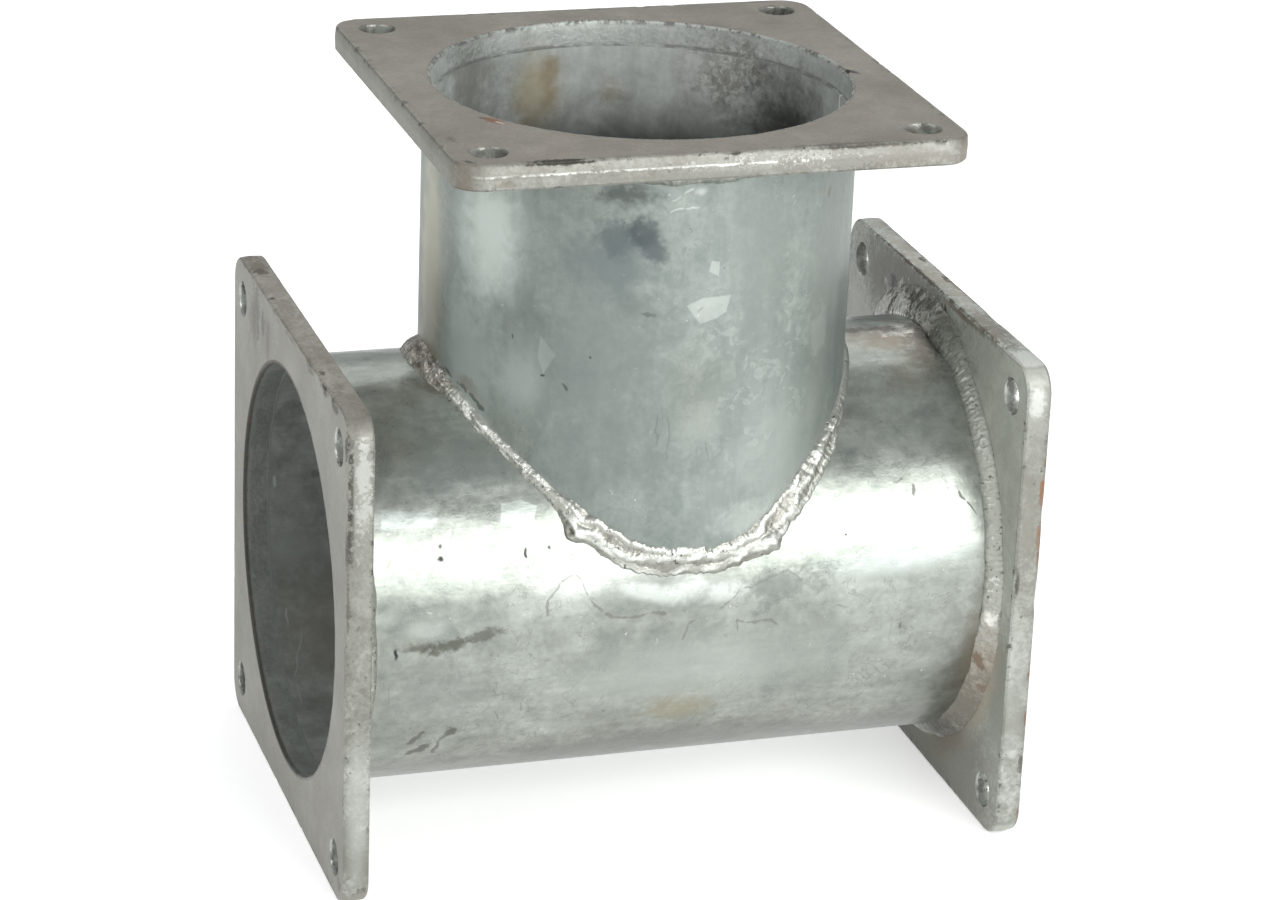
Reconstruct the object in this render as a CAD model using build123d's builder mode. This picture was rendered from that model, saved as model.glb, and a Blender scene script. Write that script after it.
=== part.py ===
# Welded pipe tee with three square flanges.
# +X lies along the run, +Z up the branch, and the origin is on the floor below the crossing of the two axes.
import os
from math import cos, pi, sin, sqrt

from build123d import *

os.makedirs("parts", exist_ok=True)

# Driving dimensions in millimetres
pipe_diameter = 168.3  # outside of the tube that both pipes are cut from
pipe_wall = 4.0
run_length = 276.0  # between the outer faces of the two run flanges
branch_reach = 194.0  # from the run's axis to the outer face of the branch flange
flange_side = 200.0
flange_thickness = 10.0
flange_corner = 12.0  # radius of the plate's four corners
flange_edge = 0.8  # bevel along the plate's outer edges
flange_bore_step = 1.05  # how far the plate's bore stands back from the pipe's bore
bolt_edge = 16.0  # from the middle of a bolt hole to the plate's edge
bolt_hole = 14.0
branch_hole_step = 2.0  # how far the hole in the run stays inside the branch bore
saddle_gap = 2.0  # gap left for the weld under the saddle's two trimmed tips
flange_weld_leg = 7.0
flange_weld_crown = 0.58  # how far out the middle of that weld stands, as a share of its leg
saddle_weld_radius = 9.2
saddle_weld_sides = 12
saddle_weld_sink_top = 2.5  # depth of the bead's centre behind the pipe, beside the branch
saddle_weld_sink_front = 5.5  # the same depth at the front and the back
saddle_weld_spans = 6  # sections in each quarter of the bead

# Places that follow from those sizes
pipe_radius = pipe_diameter / 2
bore_radius = pipe_radius - pipe_wall
axis_height = flange_side / 2
bolt_spacing = flange_side - 2 * bolt_edge
run_pipe_end = run_length / 2 - flange_thickness
branch_pipe_end = axis_height + branch_reach - flange_thickness
saddle_low = sqrt(pipe_radius**2 - bore_radius**2)  # height where the branch bore leaves the run's outside
saddle_tip = axis_height + saddle_low + saddle_gap

# Working planes: the run's axis, and the back of each flange facing outwards
run_start = Plane(origin=(-run_pipe_end, 0, axis_height), x_dir=(0, 1, 0), z_dir=(1, 0, 0))
left_back = Plane(origin=(-run_pipe_end, 0, axis_height), x_dir=(0, -1, 0), z_dir=(-1, 0, 0))
right_back = Plane(origin=(run_pipe_end, 0, axis_height), x_dir=(0, 1, 0), z_dir=(1, 0, 0))
branch_back = Plane.XY.offset(branch_pipe_end)


def finish(piece, label):
    piece.part.label = label
    export_step(piece.part, f"parts/{label}.step")


# Run pipe, with the hole for the branch cut through its upper wall
with BuildPart() as run_pipe:
    with BuildSketch(run_start):
        Circle(pipe_radius)
        Circle(bore_radius, mode=Mode.SUBTRACT)
    extrude(amount=2 * run_pipe_end)
    with BuildSketch(Plane.XY.offset(axis_height)):
        Circle(bore_radius - branch_hole_step)
    extrude(amount=pipe_diameter, mode=Mode.SUBTRACT)
finish(run_pipe, "run_pipe")

# Branch pipe, its foot cut to the outside of the run and its two thin tips trimmed off
with BuildPart() as branch_pipe:
    with BuildSketch(Plane.XY.offset(saddle_tip)):
        Circle(pipe_radius)
        Circle(bore_radius, mode=Mode.SUBTRACT)
    extrude(amount=branch_pipe_end - saddle_tip)
    with BuildSketch(run_start):
        Circle(pipe_radius)
    extrude(amount=2 * run_pipe_end, mode=Mode.SUBTRACT)
finish(branch_pipe, "branch_pipe")


# One square plate with its bore, its bolt holes and bevelled outer edges
def square_flange(back, label):
    with BuildPart() as plate:
        with BuildSketch(back):
            RectangleRounded(flange_side, flange_side, flange_corner)
            Circle(bore_radius + flange_bore_step, mode=Mode.SUBTRACT)
            with GridLocations(bolt_spacing, bolt_spacing, 2, 2):
                Circle(bolt_hole / 2, mode=Mode.SUBTRACT)
        extrude(amount=flange_thickness)
        sides = plate.faces().filter_by(Plane(back.origin, z_dir=back.z_dir))
        chamfer([edge for side in sides for edge in side.outer_wire().edges()], flange_edge)
    finish(plate, label)


square_flange(left_back, "left_flange")
square_flange(right_back, "right_flange")
square_flange(branch_back, "branch_flange")


# One ring of weld in the corner between a pipe and the back of its flange
def flange_weld(back, label):
    side = Plane(origin=back.origin, x_dir=back.x_dir, z_dir=-back.y_dir)
    crown = flange_weld_crown * flange_weld_leg
    with BuildPart() as ring:
        with BuildSketch(side):
            with Locations((pipe_radius, 0)):
                Polygon((0, 0), (flange_weld_leg, 0), (crown, -crown), (0, -flange_weld_leg), align=None)
        revolve(axis=Axis(back.origin, back.z_dir))
    finish(ring, label)


flange_weld(left_back, "left_flange_weld")
flange_weld(right_back, "right_flange_weld")
flange_weld(branch_back, "branch_flange_weld")


# Middle of the saddle bead at an angle round the branch: the crossing of the two pipes, rounded off at front and back
def bead_point(angle):
    sink = saddle_weld_sink_top + (saddle_weld_sink_front - saddle_weld_sink_top) * sin(angle) ** 2
    radius = pipe_radius - sink
    height = ((radius * cos(angle)) ** 4 + saddle_low**4) ** 0.25
    return Vector(radius * cos(angle), radius * sin(angle), axis_height + height)


def bead_plane(angle):
    onward = bead_point(angle + 0.001) - bead_point(angle - 0.001)
    return Plane(origin=bead_point(angle), x_dir=(-cos(angle), -sin(angle), 0), z_dir=onward)


# Saddle weld: a round bead led a quarter of the way round the foot of the branch, less the two pipes and the
# open bore, then mirrored to the other three quarters
with BuildPart() as saddle_weld:
    for i in range(saddle_weld_spans + 1):
        with BuildSketch(bead_plane(pi / 2 * i / saddle_weld_spans)):
            RegularPolygon(saddle_weld_radius, saddle_weld_sides)
    loft()
    with BuildSketch(run_start):
        Circle(pipe_radius)
    extrude(amount=2 * run_pipe_end, mode=Mode.SUBTRACT)
    with BuildSketch(Plane.XY.offset(axis_height)):
        Circle(bore_radius)
    extrude(amount=branch_reach, mode=Mode.SUBTRACT)
    add(branch_pipe.part, mode=Mode.SUBTRACT)
    mirror(about=Plane.XZ)
    mirror(about=Plane.YZ)
finish(saddle_weld, "saddle_weld")
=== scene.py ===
from math import atan2, cos, degrees, exp, hypot, pi, radians, sin

import bmesh
import bpy
from mathutils import Matrix, Quaternion, Vector, noise


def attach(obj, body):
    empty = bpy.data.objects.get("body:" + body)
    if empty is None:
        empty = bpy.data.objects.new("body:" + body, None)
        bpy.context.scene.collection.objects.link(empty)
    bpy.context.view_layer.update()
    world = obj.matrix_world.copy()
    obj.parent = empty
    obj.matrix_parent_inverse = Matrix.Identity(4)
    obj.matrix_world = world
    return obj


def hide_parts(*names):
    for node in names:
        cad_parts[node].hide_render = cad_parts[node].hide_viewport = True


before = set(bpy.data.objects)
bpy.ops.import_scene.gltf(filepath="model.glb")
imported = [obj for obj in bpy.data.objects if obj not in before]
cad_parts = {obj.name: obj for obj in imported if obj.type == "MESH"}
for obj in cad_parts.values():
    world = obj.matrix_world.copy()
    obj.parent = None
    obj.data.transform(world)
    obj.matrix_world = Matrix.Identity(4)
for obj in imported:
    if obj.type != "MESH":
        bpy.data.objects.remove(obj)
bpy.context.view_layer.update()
scene = bpy.context.scene
scene.view_settings.view_transform = "Standard"
print("frame loaded")

metre = 1000.0  # millimetres

# Sizes that the pieces share, in millimetres; the skin is where a pipe's inside turns into its outside
tee = {"pipe": 84.15, "skin": (81.6, 82.8), "axis": 100.0, "runEnd": 128.0, "branchEnd": 284.0, "saddleLow": 25.6}


# Shader sums in Python
class Flow:
    def __init__(self, finish, socket):
        self.finish, self.socket = finish, socket

    def __add__(self, other): return self.finish.sum("ADD", self, other)
    def __radd__(self, other): return self.finish.sum("ADD", other, self)
    def __sub__(self, other): return self.finish.sum("SUBTRACT", self, other)
    def __rsub__(self, other): return self.finish.sum("SUBTRACT", other, self)
    def __mul__(self, other): return self.finish.sum("MULTIPLY", self, other)
    def __rmul__(self, other): return self.finish.sum("MULTIPLY", other, self)
    def __abs__(self): return self.finish.sum("ABSOLUTE", self)


class Finish:
    def __init__(self, name):
        self.material = bpy.data.materials.new(name)
        self.material.use_nodes = True
        self.tree = self.material.node_tree
        self.tree.nodes.clear()
        self.colour = self.gloss = self.ragged = self.crud = None  # set as the finish is built up

    def node(self, kind, settings=None, inputs=None, output=0):
        made = self.tree.nodes.new(kind)
        for key, value in (settings or {}).items():
            if key == "stops":
                ramp = made.color_ramp
                while len(ramp.elements) < len(value):
                    ramp.elements.new(0.5)
                for stop, (place, shade) in zip(ramp.elements, value):
                    stop.position, stop.color = place, shade
            else:
                setattr(made, key, value)
        for key, value in (inputs or {}).items():
            if isinstance(value, Flow):
                self.tree.links.new(value.socket, made.inputs[key])
            else:
                made.inputs[key].default_value = value
        if output is None:
            return [Flow(self, socket) for socket in made.outputs]
        return Flow(self, made.outputs[output])

    def sum(self, operation, *terms):
        return self.node("ShaderNodeMath", {"operation": operation}, dict(enumerate(terms)))

    def length(self, x, y):
        return self.sum("SQRT", x * x + y * y)

    def unroll(self, x, y):  # millimetres round a pipe, from its near side
        return self.sum("ARCTAN2", x, y * -1.0) * tee["pipe"]

    def millimetres(self):
        place = self.node("ShaderNodeTexCoord", output=3)
        return self.node("ShaderNodeVectorMath", {"operation": "SCALE"}, {0: place, "Scale": metre})

    def split(self, vector):
        return self.node("ShaderNodeSeparateXYZ", inputs={0: vector}, output=None)

    def join(self, x, y, z=1.0):  # a flat place has 1 as its third part, for reach
        return self.node("ShaderNodeCombineXYZ", inputs={"X": x, "Y": y, "Z": z})

    def cloud(self, vector, size, detail=3.0, rough=0.55, twist=0.0):
        return self.node("ShaderNodeTexNoise", inputs={
            "Vector": vector, "Scale": 1.0 / size, "Detail": detail, "Roughness": rough, "Distortion": twist})

    def cells(self, vector, size):  # one chance value for each crystal
        shade = self.node("ShaderNodeTexVoronoi", inputs={"Vector": vector, "Scale": 1.0 / size}, output=1)
        return self.node("ShaderNodeSeparateColor", inputs={0: shade})

    def jitter(self, vector, size, reach):  # the same place, pushed about
        shade = self.node("ShaderNodeTexNoise", inputs={"Vector": vector, "Scale": 1.0 / size, "Detail": 2.0}, output=1)
        parts = self.node("ShaderNodeSeparateColor", inputs={0: shade}, output=None)
        return self.join(*((part - 0.5) * reach for part in parts))

    def stretch(self, vector, scale=(1, 1, 1), turn=0):
        return self.node("ShaderNodeMapping", inputs={
            "Vector": vector, "Scale": scale, "Rotation": (0, 0, radians(turn))})

    def between(self, value, low, high, toLow=0.0, toHigh=1.0):
        return self.node("ShaderNodeMapRange", {"interpolation_type": "SMOOTHSTEP", "clamp": False}, {
            "Value": value, "From Min": low, "From Max": high, "To Min": toLow, "To Max": toHigh})

    def blend(self, factor, first, second):  # the second is a flow or a screen colour
        second = tone(*second) if isinstance(second, tuple) else second
        return self.node("ShaderNodeMix", {"data_type": "RGBA"}, {0: factor, 6: first, 7: second}, 2)

    def ramp(self, value, *stops):  # places and screen colours
        return self.node("ShaderNodeValToRGB", {"stops": [(at, tone(*shade)) for at, shade in stops]}, {"Fac": value})

    def mottle(self, value, shade, spread, swing):  # a screen colour that swings darker and lighter
        return self.ramp(value, *((0.5 + way * spread, [part + way * swing for part in shade]) for way in (-1, 0, 1)))

    def reach(self, flat, way, start):  # how far a place lies from a start, along a direction
        back = -way[0] * start[0] - way[1] * start[1]
        return self.node("ShaderNodeVectorMath", {"operation": "DOT_PRODUCT"}, {0: flat, 1: (*way, back)}, 1)

    def spot(self, flat, spec):  # how much of a mark lies at a place on the unrolled surface
        turn, (long, wide) = radians(spec["turn"]), spec["size"]
        along = self.reach(flat, (cos(turn) / long, sin(turn) / long), spec["at"])
        across = self.reach(flat, (-sin(turn) / wide, cos(turn) / wide), spec["at"])
        if spec["even"]:
            along = along * along
        away = self.sum("SQRT", self.sum("MULTIPLY_ADD", along, along, across * across))
        away = self.sum("MULTIPLY_ADD", self.ragged, spec["ragged"], away)
        return self.between(away, 1.0, 1.0 - spec["soft"], 0.0, spec["power"])

    def patch(self, flat, corners, power):  # a flat-sided crystal, corners given anticlockwise
        inside = None
        for (x0, y0), (x1, y1) in zip(corners, corners[1:] + corners[:1]):
            span = hypot(x1 - x0, y1 - y0)
            out = self.reach(flat, ((y1 - y0) / span, (x0 - x1) / span), (x0, y0))
            inside = out if inside is None else self.sum("MAXIMUM", inside, out)
        return self.between(inside, 0.35, -0.35, 0.0, power)

    def flaky(self, spot, size, light):  # crud: light scales and dark holes
        scale = self.cells(spot, size) * 0.3 + self.cloud(spot, size * 0.6, 4.0, 0.7) * 0.75
        shade = self.ramp(scale, (0.28, (96, 92, 85)), (0.5, (146, 142, 135)), (0.7, (light, light - 1, light - 8)))
        holes = self.between(self.cloud(spot, size * 1.2, 4.0, 0.75), 0.55, 0.62)
        return self.blend(holes * 0.8, shade, (54, 51, 46))

    def coat(self, mask, shade):  # a flow or a screen colour over the colour so far
        self.colour = self.blend(mask, self.colour, shade)

    def stains(self, flat, marks, keep):  # marks, laid where keep is 1
        clean = self.colour
        for spec in marks:
            mask = self.spot(flat, spec)
            self.coat(mask, self.crud if spec["tone"] == "crud" else spec["tone"])
            if spec["dull"]:
                self.gloss = self.gloss + mask * keep * spec["dull"]
        if marks:
            self.colour = self.blend(keep, clean, self.colour)

    def wear(self, metal, gloss, height, depth):  # the finished shader
        bump = self.node("ShaderNodeBump", inputs={"Strength": 1.0, "Distance": depth / metre, "Height": height})
        shader = self.node("ShaderNodeBsdfPrincipled", inputs={
            "Base Color": self.colour, "Metallic": metal, "Roughness": gloss, "Normal": bump})
        self.node("ShaderNodeOutputMaterial", inputs={"Surface": shader}, output=None)
        return self.material


def tone(red, green, blue):  # a screen colour as the shader's own
    return (*(((c / 255 + 0.055) / 1.055) ** 2.4 for c in (red, green, blue)), 1.0)


# A mark: its place and half sizes in millimetres, screen colour, strength, how ragged and how soft its edge is, its turn
def mark(x, y, long, wide, shade, power=0.7, ragged=0.5, soft=0.6, turn=0, dull=0, even=False):
    return {"at": (x, y), "size": (long, wide), "tone": shade, "power": power, "ragged": ragged, "soft": soft,
            "turn": turn, "dull": dull, "even": even}


def trail(points, width, shade, power, ragged):  # a thin line through places on the unrolled surface
    marks = []
    for (x0, y0), (x1, y1) in zip(points, points[1:]):
        span, turn = hypot(x1 - x0, y1 - y0) / 2 + width / 2, degrees(atan2(y1 - y0, x1 - x0))
        marks.append(mark((x0 + x1) / 2, (y0 + y1) / 2, span, width, shade, power, ragged, turn=turn, even=True))
    return marks


# Camera
view = {"target": (0.00557, 0, 0.13926), "distance": 1.64594, "azimuth": -18.028, "elevation": 21.263, "roll": 2.316,
        "lens": 116.0, "sensor": 36.0}


def heading(azimuth, elevation):
    turn, lift = radians(azimuth), radians(elevation)
    return Vector((sin(turn) * cos(lift), -cos(turn) * cos(lift), sin(lift)))


def place(thing, data, azimuth, elevation, distance):
    made = bpy.data.objects.new(thing, data)
    scene.collection.objects.link(made)
    aim = heading(azimuth, elevation)
    made.location = Vector(view["target"]) + aim * distance
    made.rotation_mode = "QUATERNION"
    made.rotation_quaternion = aim.to_track_quat("Z", "Y")
    return made


cameraData = bpy.data.cameras.new("camera")
cameraData.lens, cameraData.sensor_width = view["lens"], view["sensor"]
camera = place("camera", cameraData, view["azimuth"], view["elevation"], view["distance"])
camera.rotation_quaternion = camera.rotation_quaternion @ Quaternion((0, 0, 1), radians(view["roll"]))
scene.camera = camera
print("camera set")

# Lamps, world and floor
studio = {
    "lamps": [
        {"name": "frontBox", "azimuth": 20, "elevation": 22, "distance": 2.0, "size": (1.35, 1.3), "radiance": 5.5},
        {"name": "leftBox", "azimuth": -66, "elevation": 36, "distance": 2.2, "size": (1.3, 1.3), "radiance": 2.1},
        {"name": "backBox", "azimuth": 165, "elevation": 42, "distance": 2.2, "size": (1.6, 1.2), "radiance": 1.3},
    ],
    "sky": (0.43, 0.445, 0.45, 1),
    "floor": (0.93, 0.93, 0.93, 1),
    "floorHalf": 6.0,
    "lift": 0.5,  # what brings the floor to white where it is seen
}
for lamp in studio["lamps"]:
    data = bpy.data.lights.new(lamp["name"], "AREA")
    data.shape, (data.size, data.size_y) = "RECTANGLE", lamp["size"]
    data.energy = lamp["radiance"] * pi * lamp["size"][0] * lamp["size"][1]
    place(lamp["name"], data, lamp["azimuth"], lamp["elevation"], lamp["distance"])
world = bpy.data.worlds.new("studio")
scene.world = world
world.use_nodes = True
world.node_tree.nodes["Background"].inputs["Color"].default_value = studio["sky"]
floorMesh = bpy.data.meshes.new("floor")
bm = bmesh.new()
bmesh.ops.create_grid(bm, x_segments=1, y_segments=1, size=studio["floorHalf"])
bm.to_mesh(floorMesh)
bm.free()
floorPlane = bpy.data.objects.new("floor", floorMesh)
scene.collection.objects.link(floorPlane)
floorFinish = Finish("paleFloor")
seen = floorFinish.node("ShaderNodeLightPath", output=None)
seen = seen[0] + seen[3] + seen[6]  # camera, glossy and transmission rays
floorShader = floorFinish.node("ShaderNodeBsdfPrincipled", inputs={
    "Base Color": studio["floor"], "Roughness": 0.9, "Specular IOR Level": 0.0,
    "Emission Color": seen, "Emission Strength": studio["lift"]})
floorFinish.node("ShaderNodeOutputMaterial", inputs={"Surface": floorShader}, output=None)
floorMesh.materials.append(floorFinish.material)
print("studio set")


# A finished piece that stands for a node of the frame
def makePiece(name, bm, node, sharp):
    bmesh.ops.remove_doubles(bm, verts=bm.verts[:], dist=0.001)
    bmesh.ops.recalc_face_normals(bm, faces=bm.faces[:])
    bmesh.ops.scale(bm, vec=[1 / metre] * 3, verts=bm.verts[:])
    mesh = bpy.data.meshes.new(name)
    bm.to_mesh(mesh)
    bm.free()
    mesh.shade_smooth()
    if sharp:
        mesh.set_sharp_from_angle(angle=radians(sharp))
    piece = bpy.data.objects.new(name, mesh)
    scene.collection.objects.link(piece)
    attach(piece, "root")
    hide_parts(node)
    return piece


def seat(xWay, yWay, zWay, origin):  # from a plate's own axes, back of the plate at 0, to the tee
    return Matrix.Translation(origin) @ Matrix((xWay, yWay, zWay)).transposed().to_4x4()


seats = {
    "left": seat((0, -1, 0), (0, 0, 1), (-1, 0, 0), (-tee["runEnd"], 0, tee["axis"])),
    "right": seat((0, 1, 0), (0, 0, 1), (1, 0, 0), (tee["runEnd"], 0, tee["axis"])),
    "branch": seat((1, 0, 0), (0, 1, 0), (0, 0, 1), (0, 0, tee["branchEnd"])),
}

# Flange plates: dings are places on a plate, how far they reach along x and y, and how deep they bite
plate = {
    "half": 100.0, "thick": 10.0, "corner": 12.0, "bore": 81.2, "hole": 7.0, "spread": 84.0,
    "cornerSides": 10, "edgeCuts": 110, "boreSides": 220, "holeSides": 32, "sharp": 28,
    "waver": [(0.14, 21), (0.1, 6)],  # height and size of the waves in the edge
    "chip": {"size": 4.5, "over": 0.42, "deep": 2.2},
    "heights": (0, 0.8, 5.2, 5.6, 6.0, 9.0, 9.5, 10),
    "edgeIn": (0.9, 0.25, 0.03, 0.0, 0.04, 0.35, 0.55, 1.0),
    "boreOut": (0, 0, 0, 0, 0, 0, 0.15, 0.55),
    "holeOut": (0.4, 0, 0, 0, 0, 0, 0.15, 0.5),
    "dings": {
        "left": [((61, 100), (4, 2), 1.2), ((74, 100), (3, 2), 1.0), ((100, 88), (3, 4), 1.2), ((100, 70), (2, 3), 0.8),
                 ((100, 48), (2, 4), 0.8), ((100, -60), (2, 5), 0.6), ((36, 100), (5, 2), 0.7)],
        "right": [((-100, 5), (2, 6), 1.0), ((-100, 40), (2, 4), 0.7), ((-40, 100), (7, 2), 0.9)],
        "branch": [((-62, -100), (13, 2), 1.5), ((-97, -64), (2, 4), 1.2), ((-94, -93), (3, 3), 1.3), ((5, -100), (4, 2), 0.8),
                   ((44, -100), (16, 2), 0.7), ((82, -6), (2.5, 4), 2.0), ((-71, -45), (5, 4), 0.9), ((85, -100), (6, 2), 0.5)],
    },
}


def makePlate(side):
    spec, size = plate, plate["half"]
    bm = bmesh.new()
    bmesh.ops.create_grid(bm, x_segments=1, y_segments=1, size=size)
    bmesh.ops.bevel(bm, geom=bm.verts[:], offset=spec["corner"], segments=spec["cornerSides"], profile=0.5,
                    affect="VERTICES", material=-1)
    bmesh.ops.delete(bm, geom=bm.faces[:], context="FACES_ONLY")
    bmesh.ops.subdivide_edges(bm, edges=[edge for edge in bm.edges if edge.calc_length() > size / 2], cuts=spec["edgeCuts"])
    bmesh.ops.create_circle(bm, segments=spec["boreSides"], radius=spec["bore"])
    for x in (-1, 1):
        for y in (-1, 1):
            middle = Matrix.Translation((x * spec["spread"], y * spec["spread"], 0))
            bmesh.ops.create_circle(bm, segments=spec["holeSides"], radius=spec["hole"], matrix=middle)
    bmesh.ops.triangle_fill(bm, use_beauty=True, edges=bm.edges[:])
    raised = bmesh.ops.extrude_face_region(bm, geom=bm.faces[:])["geom"]
    raised = [part for part in raised if isinstance(part, bmesh.types.BMVert)]
    bmesh.ops.translate(bm, vec=(0, 0, spec["thick"]), verts=raised)
    walls = [edge for edge in bm.edges if abs(edge.verts[0].co.z - edge.verts[1].co.z) > 5]
    walls = [edge for edge in walls if (edge.verts[0].co - edge.verts[1].co).xy.length < 0.01]
    bmesh.ops.subdivide_edges(bm, edges=walls, cuts=len(spec["heights"]) - 2, use_grid_fill=True)
    flat = size - spec["corner"]
    for vert in bm.verts:
        x, y, level = vert.co.x, vert.co.y, round(vert.co.z / spec["thick"] * (len(spec["heights"]) - 1))
        bite = sum(deep * exp(-((x - a) / p) ** 2 - ((y - b) / q) ** 2) for (a, b), (p, q), deep in spec["dings"][side])
        spot = Vector((x, y, spec["heights"][level] + 40 * len(side)))
        waver = sum(high * noise.noise(spot / long) for high, long in spec["waver"])
        chip = spec["chip"]
        chip = max(0, noise.noise(spot / chip["size"] + Vector((7, 3, 1))) - chip["over"]) * chip["deep"]
        corner = Vector((x - max(-flat, min(flat, x)), y - max(-flat, min(flat, y))))
        hub = Vector((x, y))
        bolt = Vector([part - spec["spread"] * (1 if part > 0 else -1) for part in (x, y)])
        if bolt.length < spec["hole"] + 0.1:
            shift = bolt.normalized() * (spec["holeOut"][level] + 0.15 * noise.noise(spot / 3))
        elif hub.length < spec["bore"] + 0.1:
            top = (level >= 6) + 0.4 * (level == 5)
            shift = hub.normalized() * (spec["boreOut"][level] + 0.12 * noise.noise(spot / 9) + top * (bite + 0.6 * chip))
        else:
            outer = (level == 7) + 0.6 * (level == 6) + 0.25 * (level in (0, 5))
            shift = -corner.normalized() * max(0.0, spec["edgeIn"][level] + abs(waver) + outer * (chip + bite * (level > 4)))
        vert.co = (x + shift.x, y + shift.y, spec["heights"][level])
    bm.transform(seats[side])
    return makePiece(side + "Plate", bm, side + "_flange", spec["sharp"])


plates = {side: makePlate(side) for side in seats}
print("plates made")

# Rings of weld behind the plates: turns in degrees round the plate's own axes
ring = {
    "columns": 1100, "rows": 20, "visible": 16, "leg": 5.8, "crown": 0.75, "lumps": 0.6, "pitch": 3.1, "back": 1.5,
    "blobReach": 2.2,
    "left": {"zones": [], "blobs": [(150, 1.6)]},
    "right": {"zones": [
        {"at": 218, "reach": 35, "flat": 1.2, "tall": 1.6, "crown": -0.9, "lumps": -0.2, "calm": 1.0},
        {"at": 74, "reach": 34, "flat": 6.5, "tall": 1.6, "crown": -0.4, "lumps": 0.9, "calm": 0.7},
    ], "blobs": [(185, 2.2), (68, 0.8), (96, 1.2)]},
    "branch": {"zones": [{"at": 268, "reach": 26, "flat": 1.2, "tall": 0.8, "crown": 0.1, "lumps": 0.1, "calm": 0.0}],
               "blobs": [(262, 1.4), (275, 1.2)]},
}


def around(turn, middle):  # degrees between two directions
    return abs((turn - middle + 180) % 360 - 180)


def makeRing(side):
    spec, visible, back = ring[side], ring["visible"], ring["back"]
    bm = bmesh.new()
    crest = bm.verts.layers.float.new("crest")
    bmesh.ops.create_grid(bm, x_segments=ring["columns"], y_segments=ring["rows"], size=0.5)
    for vert in bm.verts:
        turn, row = 360 * (vert.co.x + 0.5), round((vert.co.y + 0.5) * ring["rows"]) % ring["rows"]
        way = Vector((cos(radians(turn)), sin(radians(turn)), 0))
        spot = way * tee["pipe"] + Vector((0, 0, 60 * len(side)))
        flat = (1 + 0.13 * noise.noise(spot / 15) + 0.05 * noise.noise(spot / 4)) * ring["leg"]
        tall = (1 + 0.13 * noise.noise(spot / 13 + Vector((5, 0, 9))) + 0.05 * noise.noise(spot / 4.4)) * ring["leg"]
        crown, lumps, ripple = ring["crown"], ring["lumps"], 1.0
        for zone in spec["zones"]:
            share = exp(-(around(turn, zone["at"]) / zone["reach"]) ** 4)
            flat, tall, crown = flat + share * zone["flat"], tall + share * zone["tall"], crown + share * zone["crown"]
            lumps, ripple = lumps + share * zone["lumps"], ripple - share * zone["calm"]
        if row > visible:  # closed behind, inside the steel
            out, down = ((-back, tall * 0.9), (-back, -back), (flat * 0.9, -back))[row - visible - 1]
            vert.co = way * (tee["pipe"] + out) + Vector((0, 0, -down))
            continue
        across = row / visible
        arch = 4 * across * (1 - across)
        blob = sum(high * exp(-(around(turn, middle) / ring["blobReach"]) ** 2) for middle, high in spec["blobs"])
        shell = way * (tee["pipe"] + flat * (1 - across)) + Vector((0, 0, -tall * across))
        lump = 0.6 * noise.noise(shell / 4.2 + spot) + 0.45 * noise.noise(shell / 1.9)
        wave = 2 * pi * turn / 360 * 2 * pi * tee["pipe"] / ring["pitch"]
        wave = sin(wave + 4 * (across - 0.5) ** 2 + 5 * noise.noise(spot / 7))
        rise = arch ** 0.6 * (0.4 + crown + blob + 0.05 * ripple * wave + lumps * lump) - 0.4
        vert.co = shell + (way * tall + Vector((0, 0, -flat))).normalized() * rise
        # painted light and shade for the bead's colour: lighter on the lumps, darker towards the toes
        vert[crest] = 0.5 + 0.05 * ripple * wave + 0.6 * lump - 0.3 * (1 - arch)
    bm.transform(seats[side])
    return makePiece(side + "Ring", bm, side + "_flange_weld", 0)


rings = {side: makeRing(side) for side in seats}
print("flange welds made")

# Saddle weld: angle round the branch, leg on the run, leg on the branch, crown, strands, lumps
saddle = {
    "columns": 1400, "rows": 34, "pitch": 2.7, "back": 1.5, "toeSink": 0.35, "nudge": 0.002,
    "course": [
        (0, 3.2, 2.4, 0.5, 0, 0.4), (30, 4, 3, 0.9, 0, 0.4), (60, 6, 5, 1.6, 0.3, 0.5), (90, 7, 7, 2.2, 0.8, 0.5),
        (120, 6.5, 5, 1.6, 0.3, 0.5), (160, 6, 4.5, 1.0, 0, 0.7), (178, 7.2, 6.8, 0.6, 0, 1.5), (188, 6.4, 6.4, 0.9, 0, 1.5),
        (200, 4.2, 3.8, 1.1, 0.2, 1.1), (216, 2.9, 2.3, 1.0, 0.2, 0.9), (232, 2.8, 2.5, 1.1, 0.2, 0.7),
        (240, 5, 5, 1.8, 0.8, 0.4), (248, 5.6, 6.4, 2.0, 1, 0.3), (258, 5.2, 7.0, 2.0, 1, 0.3), (270, 5.2, 7.2, 1.9, 1, 0.3),
        (280, 6.0, 6.8, 1.9, 1, 0.3), (290, 7.4, 5.6, 1.8, 1, 0.4), (300, 7.6, 4.6, 1.5, 0.9, 0.5),
        (312, 6.8, 4.0, 1.3, 0.8, 0.5), (320, 5.0, 3.2, 1.1, 0.6, 0.5), (330, 3.2, 2.2, 0.8, 0.2, 0.4),
        (342, 2.6, 1.8, 0.5, 0, 0.3), (360, 3.2, 2.4, 0.5, 0, 0.4),
    ],
    "knobs": [{"angle": 211, "across": 0.6, "reach": 2.6, "wider": 0.8, "high": 1.2, "pit": 0.0},
              {"angle": 241.5, "across": 0.2, "reach": 4.2, "wider": 3.0, "high": 2.0, "pit": 1.6},
              {"angle": 291, "across": 0.2, "reach": 3.6, "wider": 2.4, "high": 1.8, "pit": 0.4}],
}


def saddleLine(angle):
    x, y = tee["pipe"] * cos(angle), tee["pipe"] * sin(angle)
    return Vector((x, y, tee["axis"] + (x ** 4 + tee["saddleLow"] ** 4) ** 0.25))


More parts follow.
